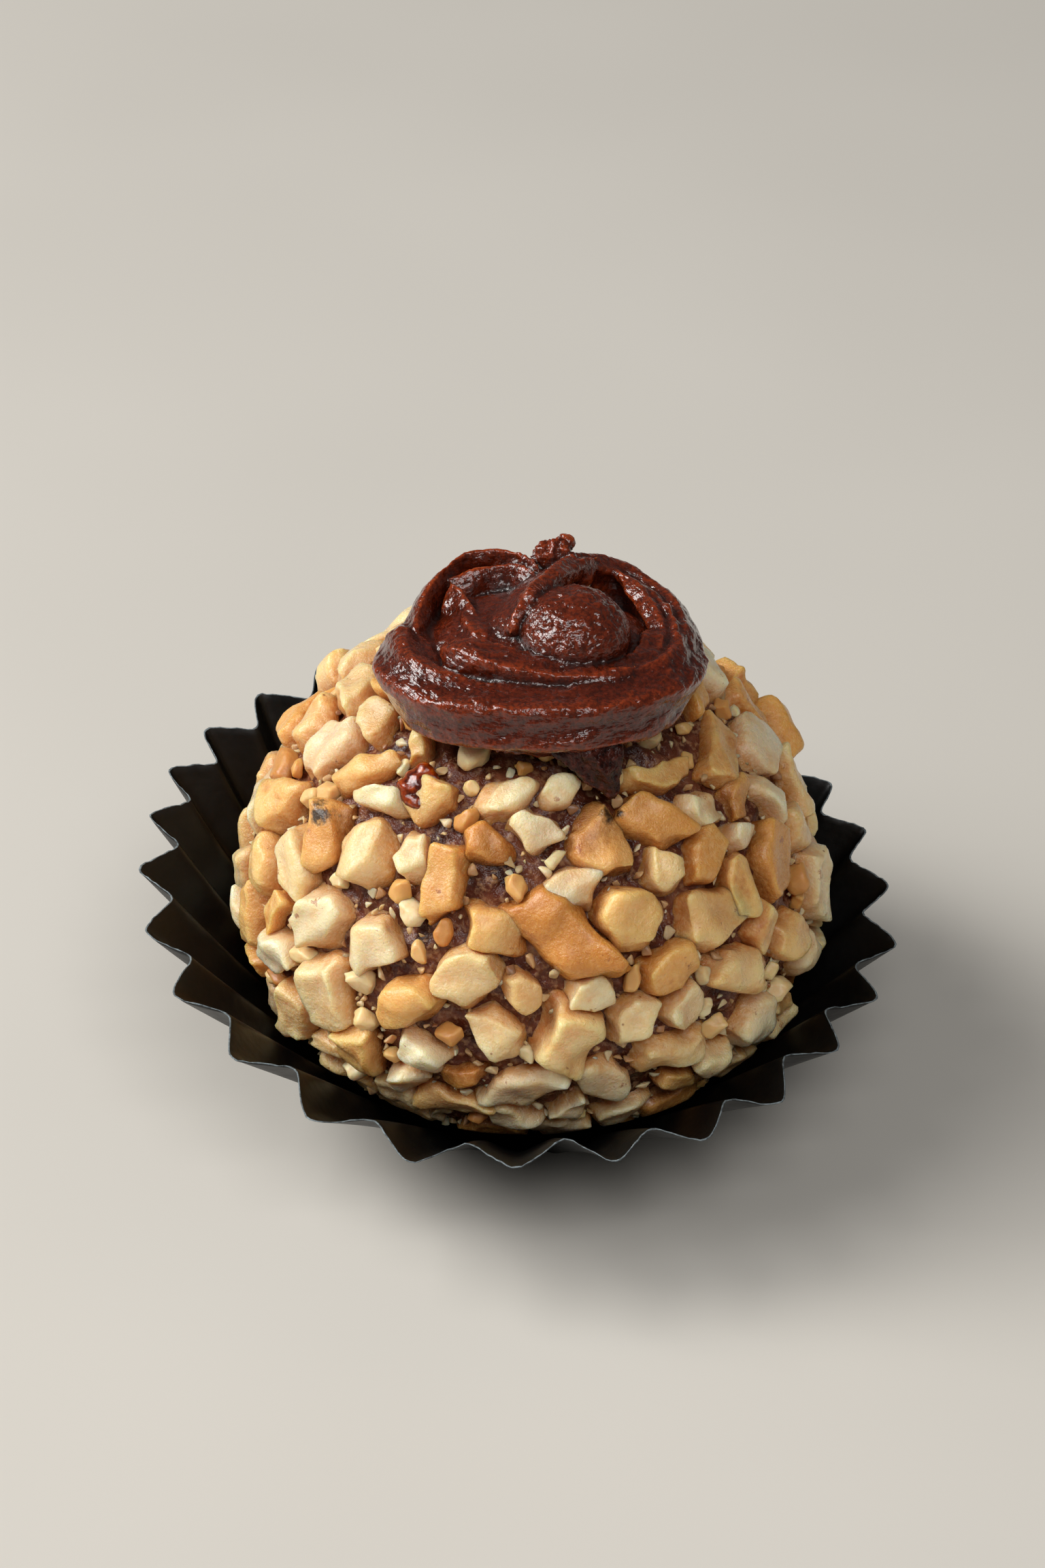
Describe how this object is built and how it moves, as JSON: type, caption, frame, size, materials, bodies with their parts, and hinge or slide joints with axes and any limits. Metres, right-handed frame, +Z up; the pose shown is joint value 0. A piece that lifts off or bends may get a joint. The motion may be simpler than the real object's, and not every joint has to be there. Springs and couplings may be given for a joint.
{
  "type": "brigadeiro",
  "caption": "Soft fudge ball rolled in chopped roasted nuts, topped with a piped dark chocolate rosette, in a fluted black paper cup.",
  "frame": {"origin": "middle of the paper cup's flat base, on its underside", "axes": "+Z up through the sweet, -Y towards the side that faces the viewer, +X to the viewer's right"},
  "size_m": [0.0438, 0.0439, 0.0338],
  "materials": {
    "nut_coating": "satin",
    "chocolate": "gloss",
    "black_paper": "satin"
  },
  "bodies": {
    "root": {"nut_ball": "nut_coating", "chocolate_rosette": "chocolate", "paper_cup": "black_paper"}
  },
  "joints": []
}
